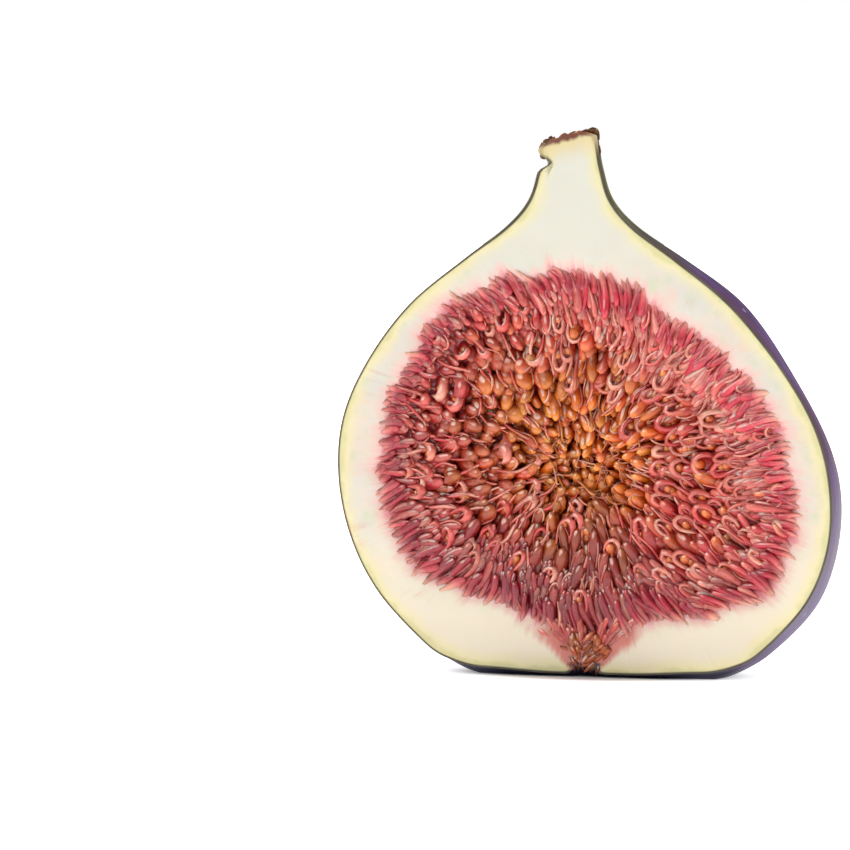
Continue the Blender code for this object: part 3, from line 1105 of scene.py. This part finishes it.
def layOpenFlower(bunches, flower, gold, rng):
    # laid open by the knife: a red hollow, a seed and a thick pale wall that curls round them
    shape, (girth, _, stretch), root = flower["shape"], flower["size"], flower["root"]
    axis, length, bend = flower["axis"], flower["length"], flower["bend"]
    girth *= rng.uniform(*openFlowers["girth"])
    bunches["behind"].add(
        shape, root + Vector((0, 0.35, 0)), axis, {"cup": 1.0, "gold": 0.5 * gold},
        size=(girth, 0.3, stretch), bend=bend, length=length, bright=rng.uniform(0.8, 1.2),
    )
    line = flowerEdge(shape, (girth, girth, stretch), 0.0)
    if rng.random() < 0.5:
        line = line[::-1]
    line = partOf(line, rng.uniform(*openFlowers["wallStart"]), rng.uniform(*openFlowers["wallEnd"]))
    hook = rng.uniform(*openFlowers["hook"])
    line[-6:, 0] *= 1 - hook * np.array([0.05, 0.15, 0.35, 0.6, 0.85, 1.0])
    wobble = rng.uniform(*openFlowers["wobble"])
    line[:, 0] += wobble * np.sin(rng.uniform(0, 6.28) + rng.uniform(3, 8) * np.linspace(0, 1, len(line)))
    thick = rng.uniform(*openFlowers["wallThickness"])
    bunches["walls"].add(
        "cord", root + Vector((0, -0.12, 0)), axis, paleTones(0.3 * gold, rng), roll=rng.uniform(-0.2, 0.2),
        size=(thick, 2.0 * thick, 1), bend=bend, length=length, line=line,
        bright=rng.uniform(0.85, 1.08), glint=0.35,
    )
    for _ in range(1 if rng.random() < openFlowers["oneSeed"] else 2):
        size = girth * rng.uniform(*openFlowers["seedSize"])
        place = root + axis * length * rng.uniform(*openFlowers["seedPlace"]) + Vector((0, 0.22, 0))
        bunches["seeds"].add(
            "seed", place, (axis + Vector((0, -0.5, 0))).normalized(),
            {"seed": 1.0, "salmon": rng.uniform(0, 1.0), "amber": 0.7 * rng.random()},
            size=(0.9 * size, 0.9 * size, 1.15 * size), bright=rng.uniform(0.85, 1.15), lumps=0.07, glint=0.4,
        )


threads = {
    "count": 330, "length": (2.4, 4.6), "thickness": (0.6, 1.3),
    # the ones that cross in the middle
    "curlyCount": 75, "curlyReach": 6.0, "curlyLength": (1.4, 3.4), "curlyThickness": (0.35, 0.75),
}


def layCurlyThreads(bunch, rng):
    for _ in range(threads["curlyCount"]):
        angle, far = rng.uniform(0, math.tau), threads["curlyReach"] * math.sqrt(rng.random())
        x, z = focusX + 0.2 + far * math.cos(angle), focusZ + 0.6 + far * math.sin(angle)
        turn = rng.uniform(0, math.tau)
        ray = Vector((math.cos(turn), rng.uniform(-0.25, 0.1), math.sin(turn)))
        at, length = np.linspace(0, 1, 17), rng.uniform(*threads["curlyLength"])
        bow, wave = rng.uniform(0.3, 0.8), rng.uniform(0, 0.3)
        across = bow * np.sin(math.pi * at) + wave * np.sin(math.tau * 1.5 * at)
        line = np.stack([across, length * (at - 0.22 * np.sin(math.tau * at))], axis=1)
        thick = rng.uniform(*threads["curlyThickness"])
        bunch.add(
            "cord", Vector((x, rng.uniform(0.5, 1.5), z)) - ray * 0.5 * length, ray,
            {"petalGold": 1.0, "amber": rng.random(), "pale": 0.7 * rng.random() ** 2},
            roll=rng.uniform(0, 6.28), size=(thick, 1.2 * thick, 1), line=line, bright=rng.uniform(0.6, 1.15),
        )


def layThreads(bunch, rng):
    # wet strands that wander between the flowers
    for _ in range(threads["count"]):
        x, z = rng.uniform(-26, 24), rng.uniform(4, 46)
        share = pulpShare(x, z)
        middle = smoothShare(share, 0.3, 0.12)
        if share > 0.92:
            continue
        gold, _ = goldShare(x, z)
        ray = inward(x, z, 1.1 * swirl(x, z) + rng.gauss(0, 0.18 + 1.2 * middle))
        length = rng.uniform(*threads["length"]) * (1 - 0.5 * middle)
        phase, waves, wide = rng.uniform(0, 6.28), rng.uniform(0.35, 0.8), rng.uniform(0.15, 0.45)
        at = np.linspace(0, 1, 17)
        line = np.stack([wide * np.sin(phase + waves * math.tau * at), length * at], axis=1)
        depth = readOff(flowers["headDepth"], share) - rng.uniform(0.0, 0.45) - 0.35
        thick = rng.uniform(*threads["thickness"]) * (1 - 0.4 * middle)
        bunch.add(
            "cord", Vector((x, max(depth, 0.1), z)) - ray * 0.5 * length, ray, paleTones(gold, rng),
            size=(thick, 1.2 * thick, 1), line=line, bend=(0, rng.uniform(-0.2, 0.4)),
            bright=rng.uniform(0.85, 1.1),
        )


rim = {
    "seed": 5,
    "step": 0.52,
    # share of the way to the rim, depth of the root, tilt towards the viewer, length
    "rows": [
        (1.04, 0.33, 2.5, 5.0), (0.99, 0.54, 4.5, 4.7), (0.94, 0.8, 6.5, 4.4), (0.88, 1.05, 8.0, 4.3),
        (0.82, 1.3, 8.0, 4.0),
    ],
    "lowestRoot": 3.6,
    # shorter, and deeper inside, where round flowers reach the rim
    "beadSide": (152, 36),
    "beadSunk": 0.8,
    "beadShorter": 0.4,
    "lowSide": (-90, 50),  # darker and less pink
    "girth": (0.6, 1.2),
    "thickness": (0.8, 1.1),
}


def rimTones(row, pale, low, rng):
    if row == 0:
        return {"rim": rng.random() + pale, "rimDeep": rng.random()}
    return {
        "petalPink": (0.8 * rng.random() ** 2 + 0.5 * pale) * (1 - 0.6 * low),
        "pink": rng.random() + 0.3,
        "rimDeep": rng.random() * (1.5 if row == 1 else 0.8),
        "pale": 0.4 * pale + 1.6 * rng.random() ** 5,
    }


def combedLine(x, z, flow, length, rng):
    # neighbours wave together, like combed hair
    at = np.linspace(0, 1, 15)
    bow = 1.2 * flow + rng.gauss(0, 0.2)
    wave = 0.12 + 0.35 * abs(noise.noise(Vector((0.2 * x, 21.0, 0.2 * z))))
    phase = 4.0 * noise.noise(Vector((0.16 * x, 33.0, 0.16 * z))) + rng.gauss(0, 0.45)
    across = bow * at**2 * length / 4 + wave * (np.sin(phase + 0.85 * math.tau * at) - math.sin(phase))
    return np.stack([across, length * at], axis=1)


def layRim(bunch, rng):
    # wavy strands that grow out of the rind all round, pale at the root and red at the head
    around = sum(pulpReach(math.radians(a)) for a in range(360)) * math.radians(1)
    for row, (rowShare, rootDepth, tilt, rowLength) in enumerate(rim["rows"]):
        count = int(around * rowShare / rim["step"])
        for i in range(count):
            angle = 2 * math.pi * (i + rng.uniform(-0.45, 0.45)) / count
            reach = pulpReach(angle) * (rowShare + rng.gauss(0, 0.016))
            x, z = focusX + reach * math.cos(angle), focusZ + reach * math.sin(angle)
            if z < rim["lowestRoot"]:
                continue
            flow = swirl(x, z)
            ray = inward(x, z, 1.3 * flow + rng.gauss(0, 0.12))
            lift = math.radians(tilt + rng.gauss(0, 2))
            pale, low = paleSide(angle), nearAngle(math.degrees(angle), *rim["lowSide"])
            beady = nearAngle(math.degrees(angle), *rim["beadSide"])
            sunk = rim["beadSunk"] * beady if row > 1 else 0.0
            tones = rimTones(row, pale, low, rng)
            length = rowLength * rng.uniform(0.7, 1.25) * (1 - rim["beadShorter"] * beady)
            line = combedLine(x, z, flow, length, rng)
            root = Vector((x, rootDepth + sunk + rng.uniform(-0.12, 0.1), z))
            roll = rng.uniform(-0.3, 0.3)
            size = (rng.uniform(*rim["girth"]), rng.uniform(*rim["thickness"]), 1)
            bend = (0, rng.uniform(-0.2, 0.15))
            bright = rng.uniform(0.76, 1.22) * (0.74 + 0.36 * pale) * (1 - 0.28 * low)
            bunch.add(
                "strand", root, ray * math.cos(lift) + Vector((0, -math.sin(lift), 0)), tones, roll=roll,
                size=size, bend=bend, line=line, bright=bright * (0.94 if row > 1 else 1), lumps=0.05,
                glint=rng.uniform(0.05, 0.5), fade=0.93 + rng.uniform(-0.03, 0.025),
            )


eyeScales = {
    "seed": 3,
    "strands": 40, "strandGirth": (0.55, 0.9), "strandLength": (0.35, 0.65),
    "scales": 64, "scaleGirth": (0.35, 0.7), "scaleLength": (0.45, 0.95),
    "darkScales": 26, "darkGirth": (0.22, 0.45), "darkLength": (0.3, 0.5),
}


def layEyeStrands(bunch, middle, rng):
    for _ in range(eyeScales["strands"]):
        lean = rng.uniform(-1, 1)
        depth = rng.uniform(0.15, 0.5)
        root = Vector((middle + 3.4 * lean, depth, 2.2 + 1.3 * abs(lean) + rng.uniform(-0.3, 0.5)))
        bunch.add(
            "strand", root, Vector((0.9 * lean + rng.gauss(0, 0.15), -0.02, 1)),
            {"rim": 0.5, "petalPink": 1.0, "salmon": rng.random(), "pale": 0.6 * rng.random()},
            roll=rng.uniform(-0.5, 0.5),
            size=(rng.uniform(*eyeScales["strandGirth"]), 0.8, rng.uniform(*eyeScales["strandLength"])),
            bend=(0.6 * lean, rng.uniform(-0.1, 0.1)), bright=rng.uniform(0.9, 1.15),
        )


def layEye(bunch, rng):
    # scales that close the eye at the foot, and the strands that run down to them
    middle = fruit["eye"][0]
    layEyeStrands(bunch, middle, rng)
    for i in range(eyeScales["scales"]):
        up = 1.2 + 2.5 * math.sqrt(i / eyeScales["scales"])
        wide = 0.3 + 0.85 * up
        out = rng.choice([-1, 1, 1]) * rng.uniform(0.25, 1)
        up += 1.1 * smoothShare(abs(out), 0.8, 0.3)
        root = Vector((middle + wide * out, rng.uniform(-0.02, 0.3), up + rng.uniform(-0.1, 0.5)))
        axis = Vector((-0.9 * out + rng.gauss(0, 0.35), rng.uniform(-0.2, 0.0), -rng.uniform(0.4, 1.0)))
        bunch.add(
            "scale", root, axis, {"scale": 1.0, "gold": 0.7 * rng.random(), "pale": 0.7 * rng.random() ** 3},
            roll=rng.uniform(-0.7, 0.7),
            size=(rng.uniform(*eyeScales["scaleGirth"]), 1.0, rng.uniform(*eyeScales["scaleLength"])),
            bend=(rng.uniform(-0.4, 0.4), rng.uniform(-0.15, 0.15)), bright=rng.uniform(0.5, 1.15),
            lumps=0.12,
        )
    # dry, dark husks right at the foot
    for _ in range(eyeScales["darkScales"]):
        out, depth = rng.uniform(-1, 1), rng.uniform(0.1, 0.7)
        root = Vector((middle + 1.7 * out, depth, 1.6 - 0.3 * abs(out) + rng.uniform(-0.1, 0.3)))
        bunch.add(
            "scale", root, Vector((-0.5 * out + rng.gauss(0, 0.3), rng.uniform(-0.25, 0.1), -1)),
            {"husk": 1.0, "scale": 0.8 * rng.random()}, roll=rng.uniform(-0.7, 0.7),
            size=(rng.uniform(*eyeScales["darkGirth"]), 0.8, rng.uniform(*eyeScales["darkLength"])),
            bright=rng.uniform(0.25, 0.8), lumps=0.12,
        )


stemEnd = {
    "seed": 7,
    "flakes": 26, "flakeReach": 2.5, "flakeUp": 59.5, "flakeGirth": (0.5, 0.9), "flakeLength": (0.2, 0.34),
    # root, direction and size of the shreds along the stem's cut edge
    "shreds": [
        ((-3.25, 0.3, 58.9), (-0.15, 0.0, -1.0), (0.55, 0.9, 0.62)),
        ((-3.5, 0.3, 57.6), (0.8, 0.0, -0.5), (0.55, 0.9, 0.40)),
        ((-3.2, 0.3, 59.0), (1.0, 0.0, 0.12), (0.45, 0.8, 0.6)),
        ((2.9, 0.3, 60.45), (0.1, 0.0, -1.0), (0.6, 0.9, 0.7)),
        ((2.0, 0.3, 60.3), (1.0, 0.0, 0.1), (0.5, 0.8, 0.5)),
        ((3.05, 0.3, 58.9), (0.14, 0.0, -1.0), (0.55, 0.8, 0.85)),
    ],
}


def makeStemEnd():
    # the torn, dried end of the stem: flakes on top and shreds along its edge, with a hook on the left
    rng = random.Random(stemEnd["seed"])
    bunch = Bunch("stemEnd")
    lean = fruit["lean"][0]
    for _ in range(stemEnd["flakes"]):
        turn = math.pi * rng.random()
        out = stemEnd["flakeReach"] * math.sqrt(rng.random())
        across = out * math.cos(turn)
        root = Vector((lean + across, out * math.sin(turn) + 0.35, stemEnd["flakeUp"] + 0.2 * across))
        axis = Vector((rng.gauss(0, 0.8), rng.gauss(0, 0.6), rng.uniform(0.1, 0.4)))
        bunch.add(
            "scale", root, axis, {"husk": 1.0, "scale": 0.6 * rng.random()}, roll=rng.uniform(0, 6.28),
            size=(rng.uniform(*stemEnd["flakeGirth"]), 1.0, rng.uniform(*stemEnd["flakeLength"])),
            bend=(rng.uniform(-0.3, 0.3), 0.1), bright=rng.uniform(0.7, 1.1), lumps=0.12,
        )
    for place, axis, size in stemEnd["shreds"]:
        root = Vector(place) + Vector((lean, 0, 0))
        bunch.add("scale", root, Vector(axis), {"husk": 1.0}, size=size, lumps=0.12, bright=0.8)
    bunch.join(fleshFinish("figHusk", **fleshLook["husk"]))


def makePulp():
    rng = random.Random(flowers["seed"])
    bunches = {
        "drops": Bunch("flowers"), "behind": Bunch("flowersBehind"), "edges": Bunch("flowerEdges"),
        "walls": Bunch("openFlowerWalls"), "seeds": Bunch("seeds"), "strands": Bunch("rimStrands"),
        "threads": Bunch("threads"), "eye": Bunch("eyeScales"),
    }
    for deeper in flowers["layers"]:
        layFlowers(bunches, rng, deeper)
    layThreads(bunches["threads"], rng)
    layCurlyThreads(bunches["threads"], rng)
    layRim(bunches["strands"], random.Random(rim["seed"]))
    layEye(bunches["eye"], random.Random(eyeScales["seed"]))
    figFlesh = fleshFinish("figFlesh", **fleshLook["pulp"])
    for bunch in bunches.values():
        bunch.join(figFlesh)
    makeStemEnd()
    for tube in tubes.values():
        bpy.data.objects.remove(tube)


makePulp()

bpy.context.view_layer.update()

# floor, light and camera
studio = {
    "azimuth": 17.1, "elevation": 3.0, "distance": 0.848,
    "focal": 320.95059, "sensor": 36, "clip": (0.05, 10),
    "middle": (0.0, 0.0, 0.028), "leftOfMiddle": 0.0218, "belowMiddle": 0.0009,
    "roomLight": 0.445,
    "floorRadius": 1.6, "floorDrop": 0.00002, "paper": (0.93, 0.93, 0.94, 1), "paperRoughness": 0.9,
    # the floor glows except close to the fruit: middle, squeeze, and where the glow starts and is full
    "floorGlow": 0.9, "glowMiddle": (0, -0.009, 0), "glowSqueeze": (0.6, 1, 1), "glowStart": (0.0065, 0.0115),
    # direction to the lamp, power, softness in degrees
    "lamps": [("topSoftbox", (0.0, 0.3, 1.0), 2.4, 30), ("frontSoftbox", (-0.25, -1.0, 0.65), 0.5, 11)],
}


def makeFloor():
    bpy.ops.object.select_all(action="DESELECT")
    bpy.ops.mesh.primitive_circle_add(
        vertices=128, radius=studio["floorRadius"], fill_type="NGON",
        location=(0, 0, cadLow[2] - studio["floorDrop"]),
    )
    floor = bpy.context.object
    floor.name = "floor"
    paper, tree, shader = newFinish(
        "palePaper", Base_Color=studio["paper"], Roughness=studio["paperRoughness"],
        Emission_Color=(1, 1, 1, 1),
    )
    # lit from below like a light table
    place = addNode(tree, "ShaderNodeTexCoord").outputs["Object"]
    squeeze = {0: place, 1: studio["glowSqueeze"]}
    squeezed = addNode(tree, "ShaderNodeVectorMath", squeeze, operation="MULTIPLY").outputs[0]
    away = {0: squeezed, 1: studio["glowMiddle"]}
    away = addNode(tree, "ShaderNodeVectorMath", away, operation="DISTANCE").outputs["Value"]
    glow = scaled(tree, spread(tree, away, *studio["glowStart"]), studio["floorGlow"])
    tree.links.new(glow, shader.inputs["Emission Strength"])
    floor.data.materials.append(paper)
    print("floor laid")


def lightRoom():
    world = bpy.data.worlds.new("studioWorld")
    bpy.context.scene.world = world
    world.use_nodes = True
    tree = world.node_tree
    tree.nodes["Background"].inputs["Color"].default_value = (1, 1, 1, 1)
    # the room lights the fruit less than the white backdrop that the camera sees
    seen = addNode(tree, "ShaderNodeLightPath").outputs["Is Camera Ray"]
    strength = calc(tree, "MULTIPLY_ADD", seen, 1 - studio["roomLight"], studio["roomLight"])
    tree.links.new(strength, tree.nodes["Background"].inputs["Strength"])
    for name, towards, power, softness in studio["lamps"]:
        bpy.ops.object.light_add(type="SUN", location=Vector(towards) * 0.5)
        lamp = bpy.context.object
        lamp.name = name
        lamp.data.energy = power
        lamp.data.angle = math.radians(softness)
        lamp.rotation_euler = Vector(towards).to_track_quat("Z", "Y").to_euler()
    print("room lit")


def placeCamera():
    azimuth, elevation = math.radians(studio["azimuth"]), math.radians(studio["elevation"])
    right = Vector((math.cos(azimuth), math.sin(azimuth), 0))
    level = math.cos(elevation)
    back = Vector((math.sin(azimuth) * level, -math.cos(azimuth) * level, math.sin(elevation)))
    middle = Vector(studio["middle"])
    place = middle + back * studio["distance"]
    aim = middle - right * studio["leftOfMiddle"] - back.cross(right) * studio["belowMiddle"]
    bpy.ops.object.camera_add(location=place)
    camera = bpy.context.object
    camera.rotation_mode = "QUATERNION"
    camera.rotation_quaternion = (aim - place).to_track_quat("-Z", "Y")
    camera.data.lens = studio["focal"]
    camera.data.sensor_width = studio["sensor"]
    camera.data.clip_start, camera.data.clip_end = studio["clip"]
    bpy.context.scene.camera = camera
    bpy.context.scene.view_settings.view_transform = "Standard"
    print("camera placed")


makeFloor()
lightRoom()
placeCamera()
